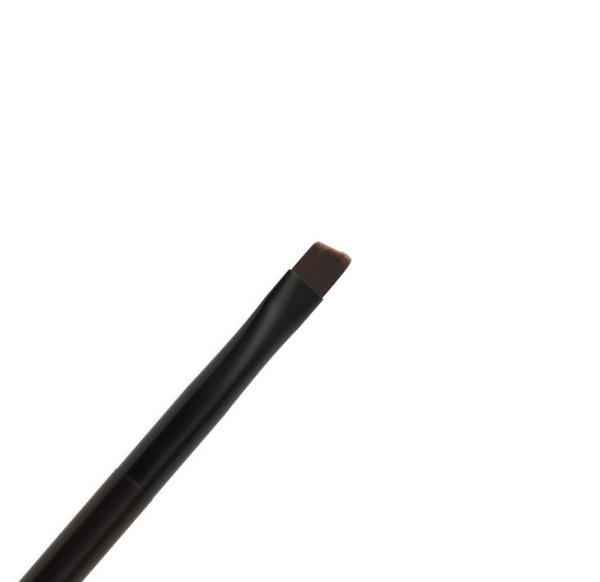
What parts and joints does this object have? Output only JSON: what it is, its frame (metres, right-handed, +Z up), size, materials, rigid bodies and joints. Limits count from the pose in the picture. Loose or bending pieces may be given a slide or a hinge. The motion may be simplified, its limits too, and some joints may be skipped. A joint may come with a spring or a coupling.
{
  "type": "double-ended eyebrow brush",
  "caption": "Slim round-handled grooming tool: a flat slant-cut brush in a swaged ferrule at one end and a twisted-wire spiral brush at the other.",
  "frame": {"origin": "centre of the footprint of the brush as it lies on its handle, at the height of the surface", "axes": "+X along the brush from the angled brush to the spiral brush, +Z up and through the thin of the flattened ferrule, -Y towards the short side of the slanted tuft"},
  "size_m": [0.1834, 0.0074, 0.0069],
  "materials": {
    "handle": "birch rod under satin black lacquer",
    "ferrule": "drawn aluminium tube under satin black lacquer",
    "glue": "cured contact glue",
    "resin": "cured epoxy resin",
    "tuft_fibre": "fine dark brown filament with pale tips",
    "wire_plug": "moulded nylon",
    "wire": "drawn stainless wire",
    "spoolie_fibre": "black nylon filament"
  },
  "bodies": {
    "root": {"handle": "handle", "brush_ferrule": "ferrule", "brush_glue_ring": "glue", "brush_root_plug": "resin", "brush_tuft": "tuft_fibre", "spoolie_ferrule": "ferrule", "spoolie_glue_ring": "glue", "spoolie_wire_plug": "wire_plug", "spoolie_wire": "wire", "spoolie_bristles": "spoolie_fibre"}
  },
  "joints": []
}
